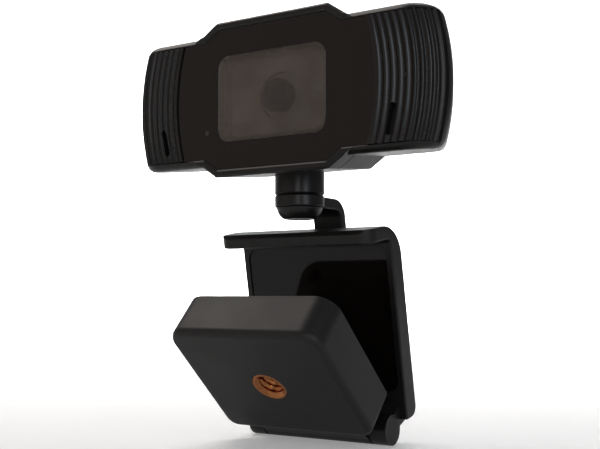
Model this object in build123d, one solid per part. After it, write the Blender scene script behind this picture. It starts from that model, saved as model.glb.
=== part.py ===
from build123d import *

import os
from math import cos, radians, sin

# Clip-on webcam with a folding monitor clip whose foot takes a tripod screw.
#
# Row frame: millimetres, +Z up along the neck, +X across the camera to its left
# end as the camera looks out, -Y the way the lens looks. The origin is the centre
# of the tripod thread's mouth in the foot.
#
# Three friction hinges: the foot folds on the bracket, the arm tilts on the back
# of the bracket, and the head turns on the arm's ring.
# Each group is drawn in a frame of its own and placed at the end:
#   head frame  - origin on the neck axis at the underside of the head, +Z up
#   clip frame  - origin at the front of the plate, level with the top of the lip
#   foot frame  - origin on the foot's hinge, drawn closed: +Z runs to the free
#                 end, and -Y is the face that takes the tripod screw

# ---- pose at rest -----------------------------------------------------------
clip_lean = 10.5          # the plate leans forward under the level head, degrees
foot_opening = 36.2       # foot swung out from closed, degrees

# ---- head: outer form -------------------------------------------------------
head_width = 79.8         # over the bulge of both ends
head_height = 35.0        # tall middle section
side_height = 30.0        # lower sections left and right
middle_width = 29.4       # flat top of the tall section
step_run = 3.75           # slope from the tall section to the side sections
head_depth = 21.0
neck_to_front = 12.0      # neck axis back from the front of the rim
end_bulge_radius = 46.0   # the ends are arcs seen from the front
front_corner = 6.0        # plan radius at the front corners
side_rake = 25.0          # ends slope in towards the back, degrees
back_corner = 4.0         # plan radius at the back corners
draft = 6.0               # top and bottom slope in towards the back, degrees
back_round = 2.2          # rounding round the back face
shell_wall = 1.6
bezel_depth = 5.0         # front shell, before the seam with the rear cover

# ---- head: front ------------------------------------------------------------
rim_width = 1.7           # raised rim round the fascia and the grips
rim_chamfer = 0.5
rim_inner_chamfer = 0.35
seam_groove = 0.25        # step at the seam, all round
fascia_width = 51.6       # glossy panel, over the bulge of its ends
fascia_thickness = 1.2
fascia_recess = 0.4       # the fascia lies below the rim's front
fascia_gap = 0.1
window_width = 28.4
window_height = 19.3
window_corner = 3.0
window_gap = 0.04
tray_wall = 1.0           # shroud behind the window, round the lens
tray_depth = 3.6
lamp_x, lamp_z = -17.3, 10.3
lamp_radius = 0.55

# ---- head: grips ------------------------------------------------------------
grip_thickness = 1.7
grip_gap = 0.1
rib_count = 10
rib_pitch = 1.65          # measured along the surface, round the corner
rib_groove = 0.7
rib_depth = 0.45
slot_x, slot_z = 29.4, 9.0    # centre of each microphone slot
slot_length = 6.6
slot_width = 1.4
slot_lean = 13.0          # the slots lean with the ribs there, degrees

# ---- head: inside -----------------------------------------------------------
board_width, board_height, board_thickness = 66.0, 22.0, 1.2
board_back = 0.4          # back face of the board, behind the neck axis
sensor_size, sensor_thickness = 6.4, 0.9
holder_base, holder_plate, holder_radius = 13.0, 1.4, 5.2
barrel_radius = 3.4
barrel_front = 2.6        # lens front, back from the rim's front
ring_height = 1.1
glass_radius = 2.2
thread_play = 0.03
mic_radius, mic_depth = 2.0, 2.6
boot_wall = 0.7
board_screw_x = 17.6
board_screw_rows = (8.0, -2.0)    # above the middle of the head
screw_radius = 1.0
screw_head_radius, screw_head_height = 1.9, 0.9
boss_radius = 2.6
board_post = 2.0          # radius of the posts that carry the board
board_screw_bite = 3.0
case_screw_x = 22.6
case_screw_z = 8.6
case_screw_sink = 2.2
case_screw_bite = 1.4     # into the posts of the front shell
gland_z = 12.0            # cable gland in the back of the rear cover
gland_radius, gland_bore = 3.6, 1.9
header_width = 7.5        # cable socket on the back of the board

# ---- neck and arm -----------------------------------------------------------
stub_radius = 5.55
stub_drop = 3.7           # stub stands below the underside of the head
flange_radius, flange_height = 7.4, 1.6
flange_z = 4.0            # underside of the flange, inside the head
spigot_radius = 3.0
neck_play = 0.05          # radial, spigot in ring
face_gap = 0.1            # axial, between stub, ring and cap
ring_thickness = 2.7
washer_radius, washer_thickness = 4.4, 0.5
cap_height = 2.5
cap_step = 0.4            # the cap steps in under the ring
cap_floor_radius = 3.5
cap_bulge = 0.4           # its side swells past a straight cone
cap_edge = 0.5
pivot_screw_radius = 1.25
pivot_head_radius, pivot_head_height = 2.3, 1.0
arm_width = 7.7
leg_thickness = 2.3
arm_thickness = 2.6       # level part of the arm, flush under the ring
arm_reach = 14.2          # neck axis to tilt axis, level
arm_drop = 16.65          # underside of the head to tilt axis
arm_bend_outer, arm_bend_inner = 4.6, 1.8
arm_edge = 0.4

# ---- tilt hinge, on the back of the bracket ---------------------------------
tilt_back = 8.1           # tilt axis behind the plate's front
tilt_down = 7.5           # and below the top of the lip
tilt_barrel_radius = 2.9
tilt_screw_radius = 1.25
tilt_play = 0.05
ear_gap = 0.3             # beside the arm, filled by a washer
ear_thickness = 3.2
ear_radius = 3.1
ear_root = 13.0           # the ears run down the plate to here
tilt_head_radius, tilt_head_height = 2.2, 1.3
tilt_nut_across = 4.6

# ---- bracket ----------------------------------------------------------------
bracket_width = 40.0
plate_thickness = 4.7
plate_height = 43.4       # top of the lip to the bottom of the plate
lip_reach = 9.4          # lip forward of the plate
lip_thickness = 3.1
lip_corner = 3.4          # plan radius of the lip's corners
lip_edge = 0.9
bracket_edge = 0.4        # rounding of every outer edge
shoulder_radius = 7.3     # plate rounds over at the top of its back
heel_radius = 2.4
liner_margin = 1.5
liner_bottom = 37.2       # below the top of the lip
liner_corner = 2.5
liner_thickness, liner_recess = 0.9, 0.3

# ---- foot hinge -------------------------------------------------------------
hinge_forward = 3.83      # foot hinge ahead of the plate's front
hinge_down = 44.6         # and below the top of the lip
knuckle_radius = 3.35
knuckle_outer = 18.2      # outer end of each bracket knuckle, from the middle
knuckle_length = 4.0
washer_gap = 0.05
hinge_washer = 0.4
hinge_pin_radius = 1.5
pin_play = 0.04
pin_cap_radius, pin_cap_depth = 2.3, 0.8

# ---- foot -------------------------------------------------------------------
foot_width = 38.0
foot_heel = 6.3           # hinge to the near end of the foot's body
foot_tip = 38.9           # hinge to the free end
foot_back = 3.43          # inner face, behind the hinge axis
foot_front = 7.05         # outer face, ahead of the hinge axis
foot_tip_corner = 4.5
foot_heel_corner = 3.0
foot_edge = 1.5           # rounding round the outer face
foot_wall = 1.8
cover_thickness = 1.6
cover_gap = 0.1
pad_thickness = 0.8
pad_margin = 5.0
foot_screw_inset = 4.2
insert_up = 22.0          # hinge to the tripod thread
insert_radius = 4.0       # flange, flush with the outer face
insert_flange = 1.0
insert_barrel_radius = 3.7
insert_length = 8.2
insert_floor = 0.8
insert_chamfer = 0.7
thread_radius = 2.55      # 1/4"-20 tapping size
insert_boss_wall = 1.6
insert_boss_floor = 0.6

# ---- values worked out from the above ---------------------------------------
front = -neck_to_front
back = front + head_depth
seam = front + bezel_depth
middle = head_height / 2
end_x = head_width / 2
fascia_front = front + fascia_recess
fascia_back = fascia_front + fascia_thickness
board_front = board_back - board_thickness
ring_top = -stub_drop - face_gap
ring_bottom = ring_top - ring_thickness
cap_top = ring_bottom - face_gap
thread_mouth = foot_front - insert_chamfer
beyond = 60.0             # past the outside of the head, for trimming


# ---- helpers ----------------------------------------------------------------
def facing(sketch, y0, y1):
    """Solid of an elevation (x, z) between two depths y0 < y1."""
    plane = Plane(origin=(0, y1, 0), x_dir=(1, 0, 0), z_dir=(0, -1, 0))
    return extrude(plane * sketch, amount=y1 - y0)


def across(sketch, x0, x1):
    """Solid of a side view (y, z) between two stations x0 < x1."""
    plane = Plane(origin=(x0, 0, 0), x_dir=(0, 1, 0), z_dir=(1, 0, 0))
    return extrude(plane * sketch, amount=x1 - x0)


def outline(points):
    """Filled polygon through the points."""
    return make_face(Polyline(*points, close=True))


def box(x0, x1, y0, y1, z0, z1):
    """Box from its six limits."""
    return Pos((x0 + x1) / 2, (y0 + y1) / 2, (z0 + z1) / 2) * Box(x1 - x0, y1 - y0, z1 - z0)


def rod_x(radius, x0, x1, y=0, z=0):
    """Cylinder along X."""
    return Pos((x0 + x1) / 2, y, z) * Rot(0, 90, 0) * Cylinder(radius, x1 - x0)


def rod_y(radius, y0, y1, x=0, z=0):
    """Cylinder along Y."""
    return Pos(x, (y0 + y1) / 2, z) * Rot(90, 0, 0) * Cylinder(radius, y1 - y0)


def rod_z(radius, z0, z1, x=0, y=0):
    """Cylinder along Z."""
    return Pos(x, y, (z0 + z1) / 2) * Cylinder(radius, z1 - z0)


def hull_of_circle(centre, radius, points):
    """Convex outline round a circle and some points."""
    edges = Edge.make_circle(radius, Plane(origin=(*centre, 0)))
    corners = [Edge.make_line(points[i], points[i + 1]) for i in range(len(points) - 1)]
    return make_hull([edges, *corners])


def only_solid(shape):
    """The one solid of a shape, the largest if trimming left slivers."""
    return max(shape.solids(), key=lambda solid: solid.volume)


# ---- head form --------------------------------------------------------------
def bulge(x):
    """Elevation disc whose right-hand arc crosses mid height at x."""
    return Pos(x - end_bulge_radius, middle) * Circle(end_bulge_radius)


def between_bulges(width):
    """Elevation of the full height between two mirrored bulged ends."""
    half = width / 2
    band = Pos(0, middle) * Rectangle(width, 2 * head_height)
    right = Pos(-end_bulge_radius + half, middle) * Circle(end_bulge_radius)
    left = Pos(end_bulge_radius - half, middle) * Circle(end_bulge_radius)
    return band & right & left


def stepped(inset=0.0, reach=beyond):
    """Front view of the head: tall in the middle, lower at the sides."""
    half = middle_width / 2
    rise = (head_height - side_height) / 2
    quarter = [(half, head_height), (half + step_run, head_height - rise), (reach, head_height - rise)]
    right = quarter + [(x, head_height - z) for x, z in reversed(quarter)]
    left = [(-x, z) for x, z in reversed(right)]
    face = outline(right + left)
    if inset:
        face = offset(face, amount=-inset, kind=Kind.INTERSECTION)
    return face


def plan_profile(inset):
    """Half plan of the head (x, y), from the axis of the bulge to the end."""
    radius = front_corner - inset
    rake = radians(side_rake)
    x_centre, y_centre = end_x - front_corner, front + front_corner
    reach = x_centre * cos(rake) + y_centre * sin(rake) + radius
    y_front, y_back = front + inset, back - inset
    inner = end_x - end_bulge_radius
    corner_front = ((reach - y_front * sin(rake)) / cos(rake), y_front)
    corner_back = ((reach - y_back * sin(rake)) / cos(rake), y_back)
    face = outline([(inner, y_front), corner_front, corner_back, (inner, y_back)])
    vertices = face.vertices().sort_by(Axis.X)[2:]
    face = fillet(vertices.sort_by(Axis.Y)[0], radius)
    outer = [v for v in face.vertices() if v.X > inner + 1]
    return fillet(max(outer, key=lambda v: v.Y), back_corner - inset)


def head_form(inset=0.0):
    """Outer form of the head, or the form a wall's thickness inside it."""
    axis = Axis((end_x - end_bulge_radius, 0, middle), (0, 1, 0))
    disc = revolve(Pos(0, 0, middle) * plan_profile(inset), axis)
    lens = disc & mirror(disc, Plane.YZ)
    plane = Plane(origin=(0, front, 0), x_dir=(1, 0, 0), z_dir=(0, -1, 0))
    prism = extrude(plane * stepped(inset), amount=-head_depth - 1, taper=draft)
    return only_solid(lens & prism)


def surface_x(run):
    """x of the point that lies a run along the front and round the corner."""
    flat = end_x - front_corner
    if run <= flat:
        return run
    return flat + front_corner * sin((run - flat) / front_corner)


# ---- head parts -------------------------------------------------------------
def head_parts():
    """Everything that turns with the head, in the head frame."""
    parts = {}
    form = head_form()
    back_face = form.faces().sort_by(Axis.Y)[-1]
    form = fillet(back_face.edges(), back_round)
    cavity = head_form(shell_wall)
    rim_hole = stepped(rim_width)
    span = between_bulges(fascia_width)
    fascia = rim_hole & between_bulges(fascia_width - 2 * fascia_gap)

    # grips: the ribbed skin at each end, between the upper and lower rims
    grip_zone = facing(rim_hole - between_bulges(fascia_width), front - 1, seam + 0.01)
    grip_skin = head_form(0.0) - head_form(grip_thickness)
    grooves = head_form(0.0) - head_form(rib_depth)
    rib_start = fascia_width / 2 + rib_pitch * 0.8
    strips = None
    for index in range(rib_count):
        run = rib_start + index * rib_pitch
        x_in, x_out = surface_x(run), surface_x(run + rib_groove)
        strip = bulge(x_out) - bulge(x_in)
        strips = strip if strips is None else strips + strip
    right_half = Pos(beyond, middle) * Rectangle(2 * (beyond - fascia_width / 2 + 6), side_height)
    groove_cut = grooves & facing(strips & right_half, front - 1, seam + 1)
    trim = stepped(rim_width + grip_gap) - between_bulges(fascia_width + 2 * grip_gap)
    right_trim = trim & (Pos(beyond, middle) * Rectangle(2 * beyond - 2, head_height))
    grip = only_solid(grip_skin & facing(right_trim, front - 1, seam - grip_gap))
    grip = only_solid(grip - groove_cut)
    slot = Rot(0, 0, 90 + slot_lean) * SlotOverall(slot_length, slot_width)
    slot = Pos(slot_x, slot_z) * slot
    slot_cut = facing(slot, front - 1, seam)
    parts["right_grip"] = grip - slot_cut
    parts["left_grip"] = mirror(parts["right_grip"], Plane.YZ)

    # front shell: rim, the wall behind the fascia, and side walls to the seam
    bezel = form & box(-beyond, beyond, front - 1, seam, -5, head_height + 5)
    bezel -= facing(fascia & span, front - 1, fascia_back)
    bezel -= grip_skin & grip_zone
    room = box(-beyond, beyond, fascia_back + shell_wall, seam + 1, -5, 50)
    bezel -= head_form(shell_wall + grip_thickness) & room
    tray_hole = RectangleRounded(window_width + 0.2, window_height + 0.2, window_corner)
    bezel -= facing(Pos(0, middle) * tray_hole, front, seam)
    bezel -= rod_y(lamp_radius + 0.3, front, seam, lamp_x, lamp_z)
    bezel = (bezel & rim_bevel()) - rim_mouth()
    wall_back = fascia_back + shell_wall / 2
    for x, z in case_screw_spots():
        bezel += rod_y(boss_radius, wall_back, seam, x, z)
        bezel -= rod_y(screw_radius, seam - case_screw_bite, seam + 1, x, z)
    for x in (-board_screw_x, board_screw_x):
        for z in (middle + row for row in board_screw_rows):
            bezel += rod_y(board_post, wall_back, board_front, x, z)
            bezel -= rod_y(screw_radius, board_front - board_screw_bite, board_front + 1, x, z)
    bezel = only_solid(bezel)
    parts["front_bezel"] = bezel

    # fascia, its window and the lamp's light pipe
    glass_hole = Pos(0, middle) * RectangleRounded(window_width, window_height, window_corner)
    panel = facing((fascia & offset(rim_hole, amount=-fascia_gap)) - glass_hole, fascia_front, fascia_back)
    parts["front_panel"] = panel - rod_y(lamp_radius + 0.05, front, seam, lamp_x, lamp_z)
    pane = Pos(0, middle) * RectangleRounded(
        window_width - 2 * window_gap, window_height - 2 * window_gap, window_corner - window_gap)
    parts["lens_window"] = facing(pane, fascia_front, fascia_back)
    parts["light_pipe"] = rod_y(lamp_radius, fascia_front, board_front - 1.0, lamp_x, lamp_z)
    parts["status_lamp"] = box(lamp_x - 0.8, lamp_x + 0.8, board_front - 0.9, board_front,
                               lamp_z - 0.6, lamp_z + 0.6)

    # rear cover
    cover = form & box(-beyond, beyond, seam, back + 1, -5, head_height + 5)
    cover -= cavity
    groove_band = box(-beyond, beyond, seam - 1, seam + seam_groove, -5, 50)
    cover -= (head_form(-1.0) - head_form(seam_groove)) & groove_band
    pad = rod_z(flange_radius + 1.2, 0.2, flange_z, 0, 0) & form
    cover += pad & box(-beyond, beyond, seam, back, -5, 10)
    cover -= rod_z(stub_radius + 0.02, -1, flange_z + 1)
    for x, z in case_screw_spots():
        cover += rod_y(boss_radius, seam, back - shell_wall / 2, x, z)
        cover -= rod_y(screw_radius + 0.1, seam - 1, back + 1, x, z)
        cover -= rod_y(screw_head_radius + 0.15, back - case_screw_sink, back + 1, x, z)
    cover -= rod_y(gland_radius, back - shell_wall - 1, back + 1, 0, gland_z)
    parts["rear_cover"] = only_solid(cover)
    return parts


def rim_mouth():
    """Bevel cut round the inner edge of the rim."""
    plane = Plane(origin=(0, front, 0), x_dir=(1, 0, 0), z_dir=(0, -1, 0))
    return extrude(plane * stepped(rim_width - rim_inner_chamfer), amount=-rim_inner_chamfer, taper=45)


def case_screw_spots():
    """(x, z) of each screw that holds the rear cover."""
    return [(x, z) for x in (-case_screw_x, case_screw_x)
            for z in (middle - case_screw_z, middle + case_screw_z)]


def rim_bevel():
    """Room inside the bevel round the front of the rim."""
    plane = Plane(origin=(0, front, 0), x_dir=(1, 0, 0), z_dir=(0, -1, 0))
    slope = extrude(plane * stepped(rim_chamfer), amount=-rim_chamfer, taper=-45)
    return slope + box(-beyond, beyond, front + rim_chamfer, seam + 1, -5, head_height + 5)


def optics():
    """Board, sensor, lens and what is fixed to them, in the head frame."""
    parts = {}
    board = box(-board_width / 2, board_width / 2, board_front, board_back,
                middle - board_height / 2, middle + board_height / 2)
    screws, holes = None, None
    for x in (-board_screw_x, board_screw_x):
        for z in (middle + row for row in board_screw_rows):
            head = rod_y(screw_head_radius, board_back, board_back + screw_head_height, x, z)
            screw = head + rod_y(screw_radius, board_front - board_screw_bite, board_back, x, z)
            screw -= rod_y(0.8, board_back + screw_head_height - 0.5, board_back + 2, x, z)
            hole = rod_y(screw_radius + 0.1, board_front - 1, board_back + 1, x, z)
            screws = screw if screws is None else screws + screw
            holes = hole if holes is None else holes + hole
    parts["board_screws"] = screws
    for x, z in case_screw_spots():
        notch = boss_radius + 0.3
        far = middle + (board_height if z > middle else -board_height)
        holes += box(x - notch, x + notch, board_front - 1, board_back + 1,
                     *sorted((far, z - notch if z > middle else z + notch)))
    parts["main_board"] = board - holes
    half = sensor_size / 2
    parts["image_sensor"] = box(-half, half, board_front - sensor_thickness, board_front,
                                middle - half, middle + half)

    holder_front = front + barrel_front + ring_height + 1.4
    base = holder_base / 2
    holder = box(-base, base, board_front - holder_plate, board_front, middle - base, middle + base)
    holder += rod_y(holder_radius, holder_front, board_front, 0, middle)
    holder -= box(-half - 0.4, half + 0.4, board_front - 2.2, board_front + 1,
                  middle - half - 0.4, middle + half + 0.4)
    holder -= rod_y(barrel_radius + thread_play, holder_front - 1, board_front - 1, 0, middle)
    parts["lens_holder"] = holder

    lens_front = front + barrel_front
    barrel = rod_y(barrel_radius, lens_front + ring_height, board_front - 2.4, 0, middle)
    barrel -= rod_y(glass_radius, lens_front, board_front, 0, middle)
    parts["lens_barrel"] = barrel
    ring = rod_y(barrel_radius + 0.3, lens_front, lens_front + ring_height, 0, middle)
    cone = Pos(0, lens_front + ring_height / 2, middle) * Rot(90, 0, 0) * Cone(
        glass_radius, glass_radius + 0.9, ring_height)
    parts["lens_ring"] = ring - cone
    dome_radius = 4.2
    dome = Pos(0, lens_front + 0.9 + dome_radius, middle) * Sphere(dome_radius)
    parts["lens_glass"] = dome & rod_y(glass_radius, lens_front, lens_front + 4.2, 0, middle)

    mics, boots = None, None
    for side in (-1, 1):
        x = side * slot_x
        mic = rod_y(mic_radius, board_front - mic_depth, board_front, x, slot_z)
        boot = rod_y(mic_radius + boot_wall, board_front - mic_depth - 1.2, board_front, x, slot_z)
        boot -= rod_y(mic_radius, board_front - mic_depth, board_front + 1, x, slot_z)
        boot -= rod_y(mic_radius - 0.8, board_front - 9, board_front, x, slot_z)
        mics = mic if mics is None else mics + mic
        boots = boot if boots is None else boots + boot
    parts["microphones"] = mics
    parts["microphone_boots"] = boots

    wide = header_width / 2
    header = box(-wide, wide, board_back, board_back + 4.2, gland_z - 2.0, gland_z + 2.0)
    header -= box(-wide + 0.7, wide - 0.7, board_back + 0.9, board_back + 5, gland_z - 1.3, gland_z + 1.3)
    parts["cable_header"] = header

    outer = Pos(0, middle) * RectangleRounded(
        window_width + 0.1, window_height + 0.1, window_corner)
    inner = Pos(0, middle) * RectangleRounded(
        window_width - 2 * tray_wall, window_height - 2 * tray_wall, window_corner - 0.6)
    tray = facing(outer, fascia_back, fascia_back + tray_depth)
    tray -= facing(inner, fascia_back - 1, fascia_back + tray_depth - tray_wall)
    tray -= rod_y(holder_radius + 0.15, fascia_back, fascia_back + tray_depth + 1, 0, middle)
    parts["lens_shroud"] = tray

    gland = rod_y(gland_radius, back - shell_wall - 1, back, 0, gland_z)
    gland += rod_y(gland_radius + 0.9, back - shell_wall - 1.9, back - shell_wall - 1, 0, gland_z)
    gland -= rod_y(gland_bore, back - 10, back + 2, 0, gland_z)
    parts["cable_gland"] = gland

    screws = None
    for x, z in case_screw_spots():
        seat = back - case_screw_sink
        screw = rod_y(screw_head_radius, seat, seat + screw_head_height, x, z)
        screw += rod_y(screw_radius, seam - case_screw_bite, seat, x, z)
        screw -= rod_y(0.8, seat + screw_head_height - 0.5, back, x, z)
        screws = screw if screws is None else screws + screw
    parts["case_screws"] = screws
    return parts


# ---- neck -------------------------------------------------------------------
def neck_parts():
    """Stub, cap and pivot screw, which turn with the head, in the head frame."""
    stub = rod_z(stub_radius, -stub_drop, flange_z)
    stub += rod_z(flange_radius, flange_z, flange_z + flange_height)
    stub += rod_z(spigot_radius, cap_top, -stub_drop)
    stub -= rod_z(pivot_screw_radius, cap_top - 1, flange_z - 1.5)
    rim = stub.edges().filter_by(GeomType.CIRCLE).filter_by(
        lambda e: abs(e.radius - stub_radius) < 1e-3 and abs(e.center().Z + stub_drop) < 1e-3)
    stub = chamfer(rim, 0.3)

    rim_radius = stub_radius - cap_step
    middle = ((rim_radius + cap_floor_radius) / 2 + cap_bulge, -cap_height / 2)
    side = ThreePointArc((rim_radius, 0), middle, (cap_floor_radius, -cap_height))
    close = Polyline((cap_floor_radius, -cap_height), (0, -cap_height), (0, 0), (rim_radius, 0))
    bowl = revolve(Plane.XZ * make_face([side, *close.edges()]), Axis.Z)
    bowl = fillet(bowl.edges().filter_by(GeomType.CIRCLE).sort_by(Axis.Z)[0], cap_edge)
    cap = Pos(0, 0, cap_top) * bowl
    cap_bottom = cap_top - cap_height
    cap -= rod_z(pivot_screw_radius + 0.1, cap_bottom - 1, cap_top + 1)
    cap -= rod_z(pivot_head_radius + 0.15, cap_bottom - 1, cap_bottom + pivot_head_height + 0.2)

    seat = cap_bottom + pivot_head_height + 0.2
    screw = rod_z(pivot_head_radius, seat - pivot_head_height, seat)
    screw += rod_z(pivot_screw_radius, seat, flange_z - 1.7)
    screw -= rod_z(0.9, seat - 2, seat - pivot_head_height + 0.6)
    return {"neck_stub": stub, "neck_cap": cap, "pivot_screw": screw}


# ---- arm --------------------------------------------------------------------
def arm_parts():
    """Swivel arm and the friction washer in its ring, in the head frame."""
    lean = radians(clip_lean)
    along, normal = (-sin(lean), cos(lean)), (cos(lean), sin(lean))
    half = leg_thickness / 2

    def leg_line(offset_back, level):
        """Point of a face of the leg at a height."""
        y, z = arm_reach + offset_back * normal[0], -arm_drop + offset_back * normal[1]
        rise = (level - z) / along[1]
        return (y + rise * along[0], level)

    arm_top = ring_bottom + arm_thickness
    top_corner, inner_corner = leg_line(half, arm_top), leg_line(-half, ring_bottom)
    foot_out = (arm_reach + half * normal[0], -arm_drop + half * normal[1])
    foot_in = (arm_reach - half * normal[0], -arm_drop - half * normal[1])
    strip = outline([(0, ring_bottom), inner_corner, foot_in, foot_out, top_corner, (0, arm_top)])
    corner = min(strip.vertices(), key=lambda v: abs(v.X - top_corner[0]) + abs(v.Y - top_corner[1]))
    strip = fillet(corner, arm_bend_outer)
    corner = min(strip.vertices(), key=lambda v: abs(v.X - inner_corner[0]) + abs(v.Y - inner_corner[1]))
    strip = fillet(corner, arm_bend_inner)
    arm = across(strip, -arm_width / 2, arm_width / 2)
    sides = [e for e in arm.edges() if abs(abs(e.center().X) - arm_width / 2) < 1e-3]
    arm = fillet([e for e in sides if e.center().Y > 1], arm_edge)
    ring = rod_z(stub_radius, ring_bottom, ring_top)
    arm += fillet(ring.edges().filter_by(GeomType.CIRCLE), arm_edge)
    arm += rod_x(tilt_barrel_radius, -arm_width / 2, arm_width / 2, arm_reach, -arm_drop)
    arm -= rod_z(spigot_radius + neck_play, ring_bottom - 1, ring_top + 1)
    arm -= rod_z(washer_radius + 0.1, ring_top - washer_thickness, ring_top + 1)
    arm -= rod_x(tilt_screw_radius + tilt_play, -arm_width, arm_width, arm_reach, -arm_drop)
    washer = rod_z(washer_radius, ring_top - washer_thickness, ring_top) - rod_z(
        spigot_radius + 0.1, ring_top - 2, ring_top + 1)
    return {"swivel_arm": arm, "neck_washer": washer}


# ---- bracket ----------------------------------------------------------------
def bracket_parts():
    """Plate, lip, liner and both hinge fixings, in the clip frame."""
    parts = {}
    wide = bracket_width / 2
    drop = lip_thickness
    side = outline([(-lip_reach, 0), (plate_thickness, 0), (plate_thickness, -plate_height),
                    (0, -plate_height), (0, -drop), (-lip_reach, -drop)])

    def at(y, z):
        """Corner of the side view nearest to a place."""
        return min(side.vertices(), key=lambda v: abs(v.X - y) + abs(v.Y - z))

    side = fillet(at(plate_thickness, 0), shoulder_radius)
    side = fillet(at(plate_thickness, -plate_height), heel_radius)
    side = fillet(at(0, -drop), 1.0)
    side = chamfer(at(-lip_reach, 0), lip_edge)
    plate = across(side, -wide, wide)
    plan = Pos(0, (20 - lip_reach) / 2) * RectangleRounded(bracket_width, 20 + lip_reach, lip_corner)
    rounded = extrude(Pos(0, 0, -plate_height - 1) * plan, amount=plate_height + 2)
    plate = only_solid(plate & rounded)
    plate = fillet(plate.edges(), bracket_edge)

    liner_width, liner_height = bracket_width - 2 * liner_margin, liner_bottom - drop - liner_margin
    liner = RectangleRounded(liner_width, liner_height, liner_corner)
    liner_z = -(drop + liner_margin + liner_bottom) / 2
    liner_back = liner_recess + liner_thickness
    plate -= facing(Pos(0, liner_z) * liner, -0.5, liner_back)
    inner = RectangleRounded(liner_width - fascia_gap, liner_height - fascia_gap, liner_corner)
    parts["bracket_liner"] = facing(Pos(0, liner_z) * inner, liner_recess, liner_back)

    # knuckles of the foot hinge
    axis_y, axis_z = -hinge_forward, -hinge_down
    root = [(0.0, -hinge_down + foot_heel - 1.6), (plate_thickness - 0.2, -hinge_down + foot_heel - 1.6),
            (plate_thickness - 0.2, -plate_height + heel_radius), (2.9, -plate_height - 0.5)]
    web = outline([*root, (axis_y, axis_z - 0.8), (axis_y, axis_z + 2.4)])
    inner_end = knuckle_outer - knuckle_length
    for side_sign in (-1, 1):
        x0, x1 = sorted((side_sign * inner_end, side_sign * knuckle_outer))
        plate += across(web, x0, x1) + rod_x(knuckle_radius, x0, x1, axis_y, axis_z)
    plate -= rod_x(knuckle_radius + 0.4, -inner_end, inner_end, axis_y, axis_z)
    plate -= rod_x(hinge_pin_radius, -wide - 1, wide + 1, axis_y, axis_z)
    for x0, x1 in ((-knuckle_outer - 1, -knuckle_outer + pin_cap_depth),
                   (knuckle_outer - pin_cap_depth, knuckle_outer + 1)):
        plate -= rod_x(pin_cap_radius + 0.05, x0, x1, axis_y, axis_z)

    # ears of the tilt hinge
    ear = make_face(hull_of_circle((tilt_back, -tilt_down), ear_radius,
                                   [(plate_thickness - 0.4, -tilt_down + ear_radius),
                                    (plate_thickness - 0.4, -ear_root)]))
    inner_ear = arm_width / 2 + ear_gap
    for x0, x1 in ((inner_ear, inner_ear + ear_thickness), (-inner_ear - ear_thickness, -inner_ear)):
        plate += across(ear, x0, x1)
    outer_ear = inner_ear + ear_thickness
    plate -= rod_x(tilt_screw_radius, -outer_ear - 1, outer_ear + 1, tilt_back, -tilt_down)
    plate -= rod_x(tilt_head_radius + 0.1, outer_ear - tilt_head_height, outer_ear + 1, tilt_back, -tilt_down)
    nut = Rot(0, 90, 0) * extrude(RegularPolygon(tilt_nut_across / 2, 6, major_radius=False), amount=1.8)
    nut_place = Pos(-outer_ear + 0.2, tilt_back, -tilt_down)
    plate -= nut_place * nut
    plate -= Pos(-outer_ear - 0.3, tilt_back, -tilt_down) * nut
    parts["clip_bracket"] = only_solid(plate)
    screw = rod_x(tilt_screw_radius, -outer_ear + 0.2, outer_ear - tilt_head_height, tilt_back, -tilt_down)
    head = rod_x(tilt_head_radius, outer_ear - tilt_head_height, outer_ear - 0.1, tilt_back, -tilt_down)
    screw += head - rod_x(1.0, outer_ear - 0.8, outer_ear, tilt_back, -tilt_down)
    parts["tilt_screw"] = screw
    parts["tilt_nut"] = nut_place * nut - rod_x(tilt_screw_radius, -outer_ear - 1, 0, tilt_back, -tilt_down)
    gap = ear_gap - 0.1
    rings = None
    for x0, x1 in ((inner_ear - gap, inner_ear), (-inner_ear, -inner_ear + gap)):
        ring = rod_x(tilt_barrel_radius - 0.2, x0, x1, tilt_back, -tilt_down)
        ring -= rod_x(tilt_screw_radius, x0 - 1, x1 + 1, tilt_back, -tilt_down)
        rings = ring if rings is None else rings + ring
    parts["tilt_washers"] = rings

    # foot hinge pin and its two caps
    pin_end = knuckle_outer - pin_cap_depth
    parts["hinge_pin"] = rod_x(hinge_pin_radius, -pin_end, pin_end, axis_y, axis_z)
    caps = None
    for x0, x1 in ((-knuckle_outer, -pin_end), (pin_end, knuckle_outer)):
        cap = rod_x(pin_cap_radius, x0, x1, axis_y, axis_z)
        caps = cap if caps is None else caps + cap
    parts["pin_caps"] = caps
    washers = None
    for x0, x1 in ((inner_end - hinge_washer, inner_end), (-inner_end, -inner_end + hinge_washer)):
        ring = rod_x(knuckle_radius - 0.25, x0, x1, axis_y, axis_z)
        ring -= rod_x(hinge_pin_radius, x0 - 1, x1 + 1, axis_y, axis_z)
        washers = ring if washers is None else washers + ring
    parts["hinge_washers"] = washers
    return parts


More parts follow.
